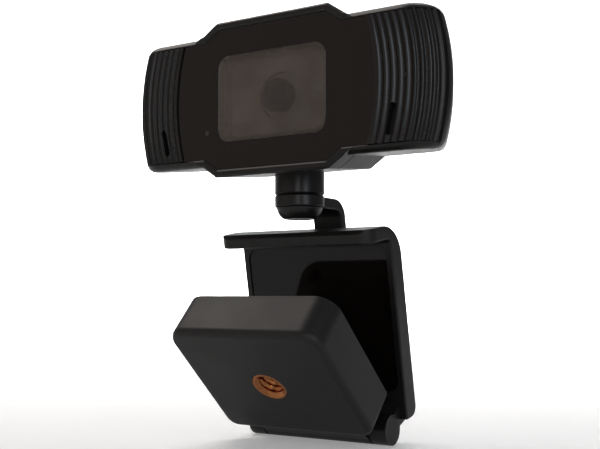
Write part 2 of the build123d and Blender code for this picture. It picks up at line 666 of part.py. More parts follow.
# ---- foot -------------------------------------------------------------------
def foot_parts():
    """Folding foot with its tripod insert, drawn closed, in the foot frame."""
    parts = {}
    wide = foot_width / 2
    face = outline([(-wide, foot_heel), (wide, foot_heel), (wide, foot_tip), (-wide, foot_tip)])
    face = fillet(face.vertices().sort_by(Axis.Y)[2:], foot_tip_corner)
    face = fillet(face.vertices().sort_by(Axis.Y)[:2], foot_heel_corner)
    block = facing(face, -foot_front, foot_back)
    outer = block.faces().sort_by(Axis.Y)[0]
    shell = fillet(outer.edges(), foot_edge)
    inner = offset(face, amount=-foot_wall)
    shell -= facing(inner, -foot_front + foot_wall, foot_back - cover_thickness)
    shell -= facing(offset(face, amount=-foot_wall / 2), foot_back - cover_thickness, foot_back + 1)
    boss_end = -foot_front + insert_length + insert_boss_floor
    boss = insert_barrel_radius + insert_boss_wall
    shell += rod_y(boss, -foot_front + foot_wall / 2, boss_end, 0, insert_up)
    posts = []
    for x in (-wide + foot_screw_inset, wide - foot_screw_inset):
        for z in (foot_heel + foot_screw_inset, foot_tip - foot_screw_inset):
            posts.append((x, z))
            shell += rod_y(2.0, -foot_front + foot_wall / 2, foot_back - cover_thickness, x, z)
            shell -= rod_y(0.9, -foot_front + 3.5, foot_back, x, z)
    shell -= rod_y(insert_radius, -foot_front - 1, -foot_front + insert_flange, 0, insert_up)
    shell -= rod_y(insert_barrel_radius, -foot_front, -foot_front + insert_length, 0, insert_up)
    half = knuckle_outer - knuckle_length - hinge_washer - washer_gap
    side = outline([(-knuckle_radius + 0.1, 0), (knuckle_radius - 0.1, 0),
                    (foot_back - 0.2, foot_heel + 0.5), (-foot_front + 2.5, foot_heel + 0.5)])
    web = across(side, -half, half)
    shell += web + rod_x(knuckle_radius, -half, half)
    shell -= rod_x(hinge_pin_radius + pin_play, -half - 1, half + 1)
    parts["foot_shell"] = only_solid(shell)

    cover_face = offset(face, amount=-foot_wall / 2 - cover_gap)
    cover = facing(cover_face, foot_back - cover_thickness, foot_back)
    pad_face = Pos(0, (foot_heel + foot_tip) / 2) * RectangleRounded(
        foot_width - 2 * pad_margin, foot_tip - foot_heel - 2 * pad_margin, 2.0)
    cover -= facing(pad_face, foot_back - pad_thickness, foot_back + 1)
    screws = None
    for x, z in posts:
        cover -= rod_y(1.0, foot_back - 3, foot_back + 1, x, z)
        cover -= rod_y(1.9, foot_back - 0.9, foot_back + 1, x, z)
        screw = rod_y(1.8, foot_back - 0.9, foot_back - 0.1, x, z)
        screw += rod_y(0.9, -foot_front + 4.5, foot_back - 0.9, x, z)
        screw -= rod_y(0.7, foot_back - 0.5, foot_back + 1, x, z)
        screws = screw if screws is None else screws + screw
    parts["foot_cover"] = cover
    parts["foot_screws"] = screws
    parts["grip_pad"] = facing(offset(pad_face, amount=-0.05), foot_back - pad_thickness, foot_back)

    insert = rod_y(insert_radius, -foot_front, -foot_front + insert_flange, 0, insert_up)
    insert += rod_y(insert_barrel_radius, -foot_front, -foot_front + insert_length, 0, insert_up)
    insert -= rod_y(thread_radius, -foot_front - 1, -foot_front + insert_length - insert_floor, 0, insert_up)
    mouth = Pos(0, -foot_front + insert_chamfer / 2, insert_up) * Rot(90, 0, 0) * Cone(
        thread_radius, thread_radius + insert_chamfer, insert_chamfer)
    parts["tripod_insert"] = insert - mouth
    return parts


# ---- placing ----------------------------------------------------------------
clip_place = Pos(0, arm_reach, -arm_drop) * Rot(clip_lean, 0, 0) * Pos(0, -tilt_back, tilt_down)
foot_place = clip_place * Pos(0, -hinge_forward, -hinge_down) * Rot(foot_opening, 0, 0)
mouth_place = foot_place * Pos(0, -thread_mouth, insert_up)
shift = Pos(*(-mouth_place.position))


def all_parts():
    """Every node by name, in the row frame."""
    groups = (
        (Pos(0, 0, 0), {**head_parts(), **optics(), **neck_parts(), **arm_parts()}),
        (clip_place, bracket_parts()),
        (foot_place, foot_parts()),
    )
    return {name: shift * place * solid for place, group in groups for name, solid in group.items()}


def main():
    """Write every node to parts/ and print what the record needs."""
    os.makedirs("parts", exist_ok=True)
    for name, solid in all_parts().items():
        export_step(solid, f"parts/{name}.step")
    for name, place in (("neck", Pos(0, 0, 0)), ("tilt", Pos(0, arm_reach, -arm_drop)),
                        ("foot hinge", foot_place), ("thread", mouth_place)):
        spot = (shift * place).position
        print(name, round(spot.X, 4), round(spot.Y, 4), round(spot.Z, 4))
    out = (shift * mouth_place * Pos(0, -1, 0)).position
    print("thread axis", round(out.X, 5), round(out.Y, 5), round(out.Z, 5))


main()
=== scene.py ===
"""Looks of a clip-on webcam: finishes, ribbed grips, threaded insert, screws and a plain studio.

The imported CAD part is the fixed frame. Lengths in the code are metres unless a name ends in _mm.
"""

import math

import bmesh
import bpy
from mathutils import Matrix, Vector


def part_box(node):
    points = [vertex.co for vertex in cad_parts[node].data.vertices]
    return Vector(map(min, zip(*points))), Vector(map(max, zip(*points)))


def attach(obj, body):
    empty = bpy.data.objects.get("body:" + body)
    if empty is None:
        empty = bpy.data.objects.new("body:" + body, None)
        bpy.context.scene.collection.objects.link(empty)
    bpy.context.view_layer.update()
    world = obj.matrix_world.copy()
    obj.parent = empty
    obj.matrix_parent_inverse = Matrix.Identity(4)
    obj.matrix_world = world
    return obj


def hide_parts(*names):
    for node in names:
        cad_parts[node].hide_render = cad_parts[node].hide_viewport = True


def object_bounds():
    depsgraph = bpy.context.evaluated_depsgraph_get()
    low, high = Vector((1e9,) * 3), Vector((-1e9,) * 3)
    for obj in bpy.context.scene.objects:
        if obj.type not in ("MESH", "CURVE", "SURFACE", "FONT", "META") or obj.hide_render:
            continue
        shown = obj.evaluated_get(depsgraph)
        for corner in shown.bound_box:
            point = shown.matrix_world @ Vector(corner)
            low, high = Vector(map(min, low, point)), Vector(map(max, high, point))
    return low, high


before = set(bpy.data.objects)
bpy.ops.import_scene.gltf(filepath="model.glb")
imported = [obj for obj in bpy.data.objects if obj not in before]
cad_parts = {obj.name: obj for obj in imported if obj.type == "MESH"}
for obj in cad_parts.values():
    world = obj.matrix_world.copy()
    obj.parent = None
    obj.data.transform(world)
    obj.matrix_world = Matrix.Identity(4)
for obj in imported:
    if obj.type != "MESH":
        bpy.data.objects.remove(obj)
cad_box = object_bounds()

bl_info = {
    "name": "Clip-on Webcam",
    "version": (1, 0, 0),
    "blender": (4, 5, 0),
    "location": "View3D > Sidebar > Webcam",
    "description": "Builds the visible surfaces and finishes of a clip-on webcam on its CAD frame",
    "category": "Object",
}

MM = 0.001
THREAD_OUT = Vector((0.0, -0.68582, -0.72777))   # the way the tripod thread opens
FOOT_TURN = math.atan2(-THREAD_OUT.z, -THREAD_OUT.y)
WELD = 1e-6            # points closer than this become one
CUTTER_DEPTH = 0.02    # the sound slot's cutter, long enough to pass through the grip's wall

# nodes that keep their CAD mesh, by finish
FINISHES = {
    "satin_shell": ("front_bezel", "rear_cover", "clip_bracket", "neck_stub", "neck_cap", "swivel_arm"),
    "soft_matte": ("foot_shell", "foot_cover", "pin_caps"),
    "gloss_fascia": ("front_panel", "bracket_liner"),
    "smoked_pane": ("lens_window",),
    "coated_glass": ("lens_glass",),
    "turned_black": ("lens_ring", "lens_barrel"),
    # these inner parts are coated pale: painted light for the shaded recess behind the pane
    "tray_painted_light": ("lens_shroud", "lens_holder", "cable_header"),
    "nylon": ("neck_washer", "tilt_washers", "hinge_washers"),
    "rubber": ("grip_pad", "microphone_boots", "cable_gland"),
    "zinc_steel": ("tilt_screw", "tilt_nut", "pivot_screw", "hinge_pin", "microphones"),
    "solder_mask": ("main_board",),
    "sensor_glass": ("image_sensor",),
    "smoked_lamp": ("light_pipe", "status_lamp"),
}


# ---- helpers ----------------------------------------------------------------
def from_hex(code):
    """Linear RGBA of an sRGB hex colour."""
    channels = [int(code[i:i + 2], 16) / 255 for i in (1, 3, 5)]
    linear = [c / 12.92 if c <= 0.04045 else ((c + 0.055) / 1.055) ** 2.4 for c in channels]
    return (*linear, 1.0)


def shade(colour, share):
    """The colour made lighter or darker by a share."""
    return (*(min(1.0, c * share) for c in colour[:3]), 1.0)


def add(tree, kind, sockets=None, **settings):
    """Adds a node, gives it its settings, and fills or links its inputs by name or number."""
    node = tree.nodes.new(kind)
    for name, value in settings.items():
        setattr(node, name, value)
    for key, value in (sockets or {}).items():
        for item in value if isinstance(value, list) else [value]:
            if isinstance(item, bpy.types.NodeSocket):
                tree.links.new(item, node.inputs[key])
            else:
                node.inputs[key].default_value = item
    return node


def new_material(name):
    """An empty material and its node tree."""
    material = bpy.data.materials.new(name)
    material.use_nodes = True
    material.node_tree.nodes.clear()
    return material, material.node_tree


def finish_material(material, shader):
    """Joins the shader to the material's output."""
    add(material.node_tree, "ShaderNodeOutputMaterial", {"Surface": shader})
    return material


def two_tones(tree, factor, low, high):
    """A ramp between two colours."""
    ramp = add(tree, "ShaderNodeValToRGB", {"Fac": factor})
    ramp.color_ramp.elements[0].position, ramp.color_ramp.elements[0].color = 0.3, low
    ramp.color_ramp.elements[1].position, ramp.color_ramp.elements[1].color = 0.7, high
    return ramp.outputs["Color"]


# ---- finishes ---------------------------------------------------------------
def moulded(name, colour, roughness, grain_mm, grain_depth_mm, blotch_mm=14.0, spread=0.03, tone=0.18):
    """Moulded polymer: fine spark-eroded grain, and broad faint changes in sheen from the mould."""
    material, tree = new_material(name)
    place = add(tree, "ShaderNodeTexCoord").outputs["Object"]
    grain = add(tree, "ShaderNodeTexNoise",
                {"Vector": place, "Scale": 1 / (grain_mm * MM), "Detail": 3.0, "Roughness": 0.6})
    blotch = add(tree, "ShaderNodeTexNoise",
                 {"Vector": place, "Scale": 1 / (blotch_mm * MM), "Detail": 2.0})
    rough = add(tree, "ShaderNodeMapRange", {"Value": blotch.outputs["Fac"], 1: 0.3, 2: 0.7,
                                             3: roughness - spread, 4: roughness + spread})
    bump = add(tree, "ShaderNodeBump", {"Height": grain.outputs["Fac"], "Strength": 0.6,
                                        "Distance": grain_depth_mm * MM})
    base = two_tones(tree, grain.outputs["Fac"], shade(colour, 1 - tone), shade(colour, 1 + tone))
    shader = add(tree, "ShaderNodeBsdfPrincipled",
                 {"Base Color": base, "Roughness": rough.outputs["Result"],
                  "Normal": bump.outputs["Normal"], "IOR": 1.5})
    return finish_material(material, shader.outputs["BSDF"])


def polished(name, colour, roughness, wave_mm=6.0, wave_depth_mm=0.0012):
    """Polished polymer: near-mirror with the slightest waviness, and a trace of handling haze."""
    material, tree = new_material(name)
    place = add(tree, "ShaderNodeTexCoord").outputs["Object"]
    wave = add(tree, "ShaderNodeTexNoise", {"Vector": place, "Scale": 1 / (wave_mm * MM), "Detail": 1.0})
    haze = add(tree, "ShaderNodeTexNoise", {"Vector": place, "Scale": 1 / (14 * MM), "Detail": 5.0})
    rough = add(tree, "ShaderNodeMapRange", {"Value": haze.outputs["Fac"], 1: 0.35, 2: 0.75,
                                             3: roughness, 4: roughness * 2.2})
    bump = add(tree, "ShaderNodeBump", {"Height": wave.outputs["Fac"], "Strength": 0.3,
                                        "Distance": wave_depth_mm * MM})
    base = two_tones(tree, haze.outputs["Fac"], shade(colour, 0.85), shade(colour, 1.15))
    shader = add(tree, "ShaderNodeBsdfPrincipled",
                 {"Base Color": base, "Roughness": rough.outputs["Result"],
                  "Normal": bump.outputs["Normal"], "IOR": 1.5})
    return finish_material(material, shader.outputs["BSDF"])


def metal(name, colour, roughness, line_mm, tone=0.12):
    """Turned or plated metal: fine tool lines round the axis, a little uneven in sheen."""
    material, tree = new_material(name)
    place = add(tree, "ShaderNodeTexCoord").outputs["Object"]
    lines = add(tree, "ShaderNodeTexNoise", {"Vector": place, "Scale": 1 / (line_mm * MM), "Detail": 4.0,
                                             "Distortion": 0.6})
    rough = add(tree, "ShaderNodeMapRange", {"Value": lines.outputs["Fac"], 1: 0.3, 2: 0.7,
                                             3: roughness * 0.75, 4: roughness * 1.3})
    base = two_tones(tree, lines.outputs["Fac"], shade(colour, 1 - tone), shade(colour, 1 + tone))
    bump = add(tree, "ShaderNodeBump",
               {"Height": lines.outputs["Fac"], "Strength": 0.25, "Distance": 0.01 * MM})
    shader = add(tree, "ShaderNodeBsdfPrincipled",
                 {"Base Color": base, "Roughness": rough.outputs["Result"], "Metallic": 1.0,
                  "Normal": bump.outputs["Normal"]})
    return finish_material(material, shader.outputs["BSDF"])


def clear(name, tint, haze_tint, haze_share, ior, roughness):
    """Tinted clear sheet: darkens what lies behind it, with a sharp reflection on top."""
    material, tree = new_material(name)
    place = add(tree, "ShaderNodeTexCoord").outputs["Object"]
    cloud = add(tree, "ShaderNodeTexNoise", {"Vector": place, "Scale": 1 / (8 * MM), "Detail": 2.0})
    through = add(tree, "ShaderNodeBsdfTransparent",
                  {"Color": two_tones(tree, cloud.outputs["Fac"], shade(tint, 0.94), shade(tint, 1.06))})
    haze = add(tree, "ShaderNodeBsdfDiffuse",
               {"Color": two_tones(tree, cloud.outputs["Fac"], shade(haze_tint, 0.9),
                                   shade(haze_tint, 1.1))})
    body = add(tree, "ShaderNodeMixShader", {0: haze_share, 1: through.outputs[0], 2: haze.outputs[0]})
    gloss = add(tree, "ShaderNodeBsdfGlossy", {"Color": (1, 1, 1, 1), "Roughness": roughness})
    edge = add(tree, "ShaderNodeFresnel", {"IOR": ior})
    mixed = add(tree, "ShaderNodeMixShader",
                {0: edge.outputs[0], 1: body.outputs[0], 2: gloss.outputs[0]})
    return finish_material(material, mixed.outputs[0])


def solder_mask(name, colour, copper):
    """Fibreglass board under green solder mask: faint copper runs show through a smooth skin."""
    material, tree = new_material(name)
    place = add(tree, "ShaderNodeTexCoord").outputs["Object"]
    runs = add(tree, "ShaderNodeTexVoronoi", {"Vector": place, "Scale": 1 / (1.6 * MM)},
               feature="DISTANCE_TO_EDGE", distance="MANHATTAN")
    weave = add(tree, "ShaderNodeTexNoise", {"Vector": place, "Scale": 1 / (0.4 * MM)})
    line = add(tree, "ShaderNodeMapRange",
               {"Value": runs.outputs["Distance"], 1: 0.04, 2: 0.09, 3: 1.0, 4: 0.0})
    base = two_tones(tree, line.outputs["Result"], colour, copper)
    bump = add(tree, "ShaderNodeBump",
               {"Height": weave.outputs["Fac"], "Strength": 0.2, "Distance": 0.02 * MM})
    shader = add(tree, "ShaderNodeBsdfPrincipled",
                 {"Base Color": base, "Roughness": 0.32, "Normal": bump.outputs["Normal"], "IOR": 1.5})
    return finish_material(material, shader.outputs["BSDF"])


def make_finishes(colours):
    """Every finish of the webcam, by name."""
    shell, foot, gloss = tuple(colours.shell), tuple(colours.foot), tuple(colours.gloss)
    return {
        # ABS from a lightly sparked mould: a soft grey sheen on black
        "satin_shell": moulded("satin_abs_shell", shell, 0.34, 0.22, 0.006),
        # the same ABS with a coarser grain: matte, slightly cooler
        "soft_matte": moulded("matte_abs_foot", foot, 0.46, 0.28, 0.012),
        # the grips are moulded in a softer black that keeps its highlight along each rib
        "ribbed_abs": moulded("satin_abs_grip", shade(shell, 0.95), 0.27, 0.25, 0.005),
        # acrylic with black printed behind it: deep and mirror-like
        "gloss_fascia": polished("gloss_acrylic_fascia", gloss, 0.035),
        # smoked acrylic: the tray behind shows as faint steps
        "smoked_pane": clear("smoked_acrylic_pane", tuple(colours.pane), from_hex("#958d85"),
                             0.11, 1.49, 0.02),
        # optical glass whose coating takes most of its reflection away: dark, with a small sharp gleam
        "coated_glass": clear("coated_optical_glass", from_hex("#7d7a86"), from_hex("#14141c"),
                              0.20, 1.3, 0.01),
        # glass-filled polymer moulded in black: dull and almost without a reflection
        "turned_black": moulded("filled_polymer_barrel", from_hex("#0f0e0e"), 0.42, 0.5, 0.01),
        # pale in place of the inner parts' black: painted light that makes up for the shade in the recess,
        # so the tray's steps show through the pane
        "tray_painted_light": moulded("tray_pale_painted_light", from_hex("#e2deda"), 0.6, 0.35, 0.01),
        # unfilled nylon dyed dark: waxy
        "nylon": moulded("dyed_nylon", from_hex("#3a3835"), 0.45, 0.4, 0.005),
        # synthetic rubber: flat black-grey, no highlight
        "rubber": moulded("synthetic_rubber", from_hex("#232323"), 0.8, 0.5, 0.02),
        # zinc-plated steel: cool and a little cloudy
        "zinc_steel": metal("zinc_plated_steel", from_hex("#b9bcc0"), 0.3, 0.6),
        # black-oxide steel: dark with a dull metallic gleam
        "black_steel": metal("black_oxide_steel", from_hex("#1d1d1f"), 0.45, 0.6),
        # turned brass: warm, bright on the bevel
        "brass": metal("turned_brass", tuple(colours.insert), 0.12, 0.8),
        "solder_mask": solder_mask("green_solder_mask", from_hex("#12452f"), from_hex("#3c7a4c")),
        # bare sensor behind glass: dark violet-grey
        "sensor_glass": polished("image_sensor_glass", from_hex("#2a2733"), 0.08, 2.0),
        # smoked polycarbonate: the lamp's dot is barely there while it is off
        "smoked_lamp": moulded("smoked_polycarbonate", from_hex("#3f3b38"), 0.3, 0.3, 0.004),
    }


def finish_named(name):
    """A finish by its key, made once for the whole webcam."""
    return bpy.data.materials[bpy.context.scene["webcam_finishes"][name]]


def coat_node(node, finish):
    """Puts a finish on a CAD node, through its material slots."""
    for material_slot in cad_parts[node].material_slots:
        material_slot.material = finish_named(finish)


# ---- mesh helpers -----------------------------------------------------------
def as_object(name, mesh, body, nodes, finish=None):
    """Shows a finished mesh, riding on a body, in place of CAD nodes."""
    mesh.shade_smooth()
    mesh.set_sharp_from_angle(angle=math.radians(32))
    piece = bpy.data.objects.new(name, mesh)
    bpy.context.scene.collection.objects.link(piece)
    if finish is not None:
        mesh.materials.clear()
        mesh.materials.append(finish)
    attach(piece, body)
    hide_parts(*nodes)
    return piece


def from_tree(name, tree, values, points=()):
    """Plain mesh that a Geometry Nodes tree makes, with its inputs set by socket identifier."""
    seed = bpy.data.meshes.new(name + "_seed")
    seed.from_pydata([tuple(p) for p in points], [], [])
    maker = bpy.data.objects.new(name + "_maker", seed)
    bpy.context.scene.collection.objects.link(maker)
    modifier = maker.modifiers.new("Shape", "NODES")
    modifier.node_group = tree
    for item in tree.interface.items_tree:
        if item.item_type == "SOCKET" and item.in_out == "INPUT" and item.name in values:
            modifier[item.identifier] = values[item.name]
    depsgraph = bpy.context.evaluated_depsgraph_get()
    mesh = bpy.data.meshes.new_from_object(maker.evaluated_get(depsgraph))
    mesh.name = name
    bpy.data.objects.remove(maker)
    bpy.data.meshes.remove(seed)
    return mesh


def new_tree(name, inputs):
    """Geometry Nodes tree with a geometry socket, named inputs and its group nodes."""
    tree = bpy.data.node_groups.new(name, "GeometryNodeTree")
    tree.interface.new_socket("Geometry", in_out="INPUT", socket_type="NodeSocketGeometry")
    tree.interface.new_socket("Geometry", in_out="OUTPUT", socket_type="NodeSocketGeometry")
    for label, kind in inputs:
        tree.interface.new_socket(label, in_out="INPUT", socket_type=kind)
    return tree, tree.nodes.new("NodeGroupInput"), tree.nodes.new("NodeGroupOutput")


def turned_box(node, turn):
    """Corners of a CAD node in a frame turned about X."""
    back = Matrix.Rotation(-turn, 4, "X")
    spots = [back @ v.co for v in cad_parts[node].data.vertices]
    low = Vector([min(p[i] for p in spots) for i in range(3)])
    high = Vector([max(p[i] for p in spots) for i in range(3)])
    return low, high


# ---- ribbed grip ------------------------------------------------------------
def grip_tree():
    """A skin that follows the front and the round corner, ribbed, with a sound slot."""
    length, number = "NodeSocketFloat", "NodeSocketInt"
    tree, given, out = new_tree("Ribbed Grip", [
        ("Start", length), ("Corner", length), ("End", length), ("Front", length), ("Reach", length),
        ("Low", length), ("High", length), ("Bulge Radius", length), ("Thickness", length),
        ("Rib Start", length), ("Rib Pitch", length), ("Rib Count", number), ("Rib Depth", length),
        ("Slot X", length), ("Slot Z", length), ("Slot Length", length), ("Slot Width", length),
        ("Slot Lean", length), ("Material", "NodeSocketMaterial")])
    get = given.outputs

    # path in plan: straight across the front, then round the corner towards the back
    start = add(tree, "ShaderNodeCombineXYZ", {"X": get["Start"], "Y": get["Front"]})
    knee_x = add(tree, "ShaderNodeMath", {0: get["Corner"], 1: get["Reach"]}, operation="ADD")
    knee = add(tree, "ShaderNodeCombineXYZ", {"X": knee_x.outputs[0], "Y": get["Front"]})
    tail_y = add(tree, "ShaderNodeMath", {0: get["Front"], 1: get["Reach"]}, operation="ADD")
    tail = add(tree, "ShaderNodeCombineXYZ", {"X": knee_x.outputs[0], "Y": tail_y.outputs[0]})
    across = add(tree, "GeometryNodeCurvePrimitiveLine", {"Start": start.outputs[0], "End": knee.outputs[0]})
    back = add(tree, "GeometryNodeCurvePrimitiveLine", {"Start": knee.outputs[0], "End": tail.outputs[0]})
    legs = add(tree, "GeometryNodeJoinGeometry", {0: [across.outputs[0], back.outputs[0]]})
    edges = add(tree, "GeometryNodeCurveToMesh", {0: legs.outputs[0]})
    welded = add(tree, "GeometryNodeMergeByDistance", {0: edges.outputs[0], "Distance": WELD})
    strand = add(tree, "GeometryNodeMeshToCurve", {0: welded.outputs[0]})
    bent = add(tree, "GeometryNodeReverseCurve", {0: strand.outputs[0]})
    path = add(tree, "GeometryNodeFilletCurve", {0: bent.outputs[0], "Count": 60, "Radius": get["Reach"]},
               mode="POLY")

    # grid of run by height, laid along the path
    run = add(tree, "ShaderNodeMath", {0: get["End"], 1: get["Start"]}, operation="SUBTRACT")
    tall = add(tree, "ShaderNodeMath", {0: get["High"], 1: get["Low"]}, operation="SUBTRACT")
    grid = add(tree, "GeometryNodeMeshGrid",
               {"Size X": 1.0, "Size Y": 1.0, "Vertices X": 221, "Vertices Y": 30})
    spot = add(tree, "ShaderNodeSeparateXYZ", {0: add(tree, "GeometryNodeInputPosition").outputs[0]})
    share_x = add(tree, "ShaderNodeMath", {0: spot.outputs["X"], 1: 0.5}, operation="ADD")
    along = add(tree, "ShaderNodeMath", {0: share_x.outputs[0], 1: run.outputs[0]}, operation="MULTIPLY")
    sample = add(tree, "GeometryNodeSampleCurve", {"Curves": path.outputs[0], "Length": along.outputs[0]},
                 mode="LENGTH", data_type="FLOAT")
    inward = add(tree, "ShaderNodeVectorMath", {0: sample.outputs["Tangent"], 1: (0.0, 0.0, -1.0)},
                 operation="CROSS_PRODUCT")

    # ribs: a soft groove at each pitch, none outside the ribbed run
    total = add(tree, "ShaderNodeMath", {0: along.outputs[0], 1: get["Start"]}, operation="ADD")
    offset = add(tree, "ShaderNodeMath", {0: total.outputs[0], 1: get["Rib Start"]}, operation="SUBTRACT")
    count = add(tree, "ShaderNodeMath", {0: offset.outputs[0], 1: get["Rib Pitch"]}, operation="DIVIDE")
    phase = add(tree, "ShaderNodeMath", {0: count.outputs[0]}, operation="FRACT")
    swing = add(tree, "ShaderNodeMath", {0: phase.outputs[0], 1: 2.0, 2: -1.0}, operation="MULTIPLY_ADD")
    spread = add(tree, "ShaderNodeMath", {0: swing.outputs[0]}, operation="ABSOLUTE")
    groove = add(tree, "ShaderNodeMapRange",
                 {0: spread.outputs[0], 1: 0.12, 2: 0.9, 3: get["Rib Depth"], 4: 0.0},
                 interpolation_type="SMOOTHSTEP")
    after = add(tree, "ShaderNodeMath", {0: count.outputs[0], 1: 0.0}, operation="GREATER_THAN")
    before = add(tree, "ShaderNodeMath", {0: count.outputs[0], 1: get["Rib Count"]}, operation="LESS_THAN")
    ribbed = add(tree, "ShaderNodeMath", {0: after.outputs[0], 1: before.outputs[0]}, operation="MULTIPLY")
    depth = add(tree, "ShaderNodeMath", {0: groove.outputs[0], 1: ribbed.outputs[0]}, operation="MULTIPLY")
    sunk = add(tree, "ShaderNodeVectorMath", {0: inward.outputs[0], "Scale": depth.outputs[0]},
               operation="SCALE")

    # each height is set in by the bulge of the end
    level = add(tree, "ShaderNodeMath", {0: spot.outputs["Y"], 1: tall.outputs[0]}, operation="MULTIPLY")
    centre = add(tree, "ShaderNodeMath", {0: get["Low"], 1: get["High"]}, operation="ADD")
    middle = add(tree, "ShaderNodeMath", {0: centre.outputs[0], 1: 0.5}, operation="MULTIPLY")
    height = add(tree, "ShaderNodeMath", {0: level.outputs[0], 1: middle.outputs[0]}, operation="ADD")
    ratio = add(tree, "ShaderNodeMath", {0: level.outputs[0], 1: get["Bulge Radius"]}, operation="DIVIDE")
    angle = add(tree, "ShaderNodeMath", {0: ratio.outputs[0]}, operation="ARCSINE")
    cosine = add(tree, "ShaderNodeMath", {0: angle.outputs[0]}, operation="COSINE")
    share = add(tree, "ShaderNodeMath", {0: cosine.outputs[0], 1: 1.0}, operation="SUBTRACT")
    inset = add(tree, "ShaderNodeMath", {0: share.outputs[0], 1: get["Bulge Radius"]}, operation="MULTIPLY")
    shift = add(tree, "ShaderNodeCombineXYZ", {"X": inset.outputs[0], "Z": height.outputs[0]})
    moved = add(tree, "ShaderNodeVectorMath", {0: sample.outputs["Position"], 1: shift.outputs[0]},
                operation="ADD")
    final = add(tree, "ShaderNodeVectorMath", {0: moved.outputs[0], 1: sunk.outputs[0]}, operation="ADD")
    kept = add(tree, "GeometryNodeStoreNamedAttribute",
               {0: grid.outputs[0], "Name": "inward", "Value": inward.outputs[0]},
               data_type="FLOAT_VECTOR", domain="POINT")
    skin = add(tree, "GeometryNodeSetPosition", {0: kept.outputs[0], "Position": final.outputs[0]})

    # wall, then the sound slot cut through it
    direction = add(tree, "GeometryNodeInputNamedAttribute", {"Name": "inward"}, data_type="FLOAT_VECTOR")
    wall = add(tree, "GeometryNodeExtrudeMesh",
               {0: skin.outputs[0], "Offset": direction.outputs[0], "Offset Scale": get["Thickness"],
                "Individual": False}, mode="FACES")
    face = add(tree, "GeometryNodeFlipFaces", {0: skin.outputs[0]})
    both = add(tree, "GeometryNodeJoinGeometry", {0: [face.outputs[0], wall.outputs[0]]})
    shell = add(tree, "GeometryNodeMergeByDistance", {0: both.outputs[0], "Distance": WELD})
    straight = add(tree, "ShaderNodeMath", {0: get["Slot Length"], 1: get["Slot Width"]},
                   operation="SUBTRACT")
    bar_size = add(tree, "ShaderNodeCombineXYZ",
                   {"X": get["Slot Width"], "Y": CUTTER_DEPTH, "Z": straight.outputs[0]})
    bar = add(tree, "GeometryNodeMeshCube", {"Size": bar_size.outputs[0]})
    half = add(tree, "ShaderNodeMath", {0: straight.outputs[0], 1: 0.5}, operation="MULTIPLY")
    radius = add(tree, "ShaderNodeMath", {0: get["Slot Width"], 1: 0.5}, operation="MULTIPLY")
    end = add(tree, "GeometryNodeMeshCylinder",
              {"Vertices": 32, "Radius": radius.outputs[0], "Depth": CUTTER_DEPTH})
    spin = add(tree, "ShaderNodeCombineXYZ", {"Y": get["Slot Lean"]})
    slot_at = add(tree, "ShaderNodeCombineXYZ", {"X": get["Slot X"], "Y": get["Front"], "Z": get["Slot Z"]})
    cutters = [bar.outputs[0]]
    for sign in (1.0, -1.0):
        up = add(tree, "ShaderNodeMath", {0: half.outputs[0], 1: sign}, operation="MULTIPLY")
        raise_by = add(tree, "ShaderNodeCombineXYZ", {"Z": up.outputs[0]})
        cap = add(tree, "GeometryNodeTransform", {0: end.outputs[0], "Translation": raise_by.outputs[0],
                                                  "Rotation": (math.pi / 2, 0.0, 0.0)})
        cutters.append(cap.outputs[0])
    at_slot = {"Translation": slot_at.outputs[0], "Rotation": spin.outputs[0]}
    placed = [add(tree, "GeometryNodeTransform", {0: cutter, **at_slot}).outputs[0] for cutter in cutters]
    cut = add(tree, "GeometryNodeMeshBoolean", {"Mesh 1": shell.outputs[0], "Mesh 2": placed},
              operation="DIFFERENCE", solver="EXACT")
    real = add(tree, "GeometryNodeRealizeInstances", {0: cut.outputs[0]})
    coated = add(tree, "GeometryNodeSetMaterial", {0: real.outputs[0], "Material": get["Material"]})
    tree.links.new(coated.outputs[0], out.inputs[0])
    return tree


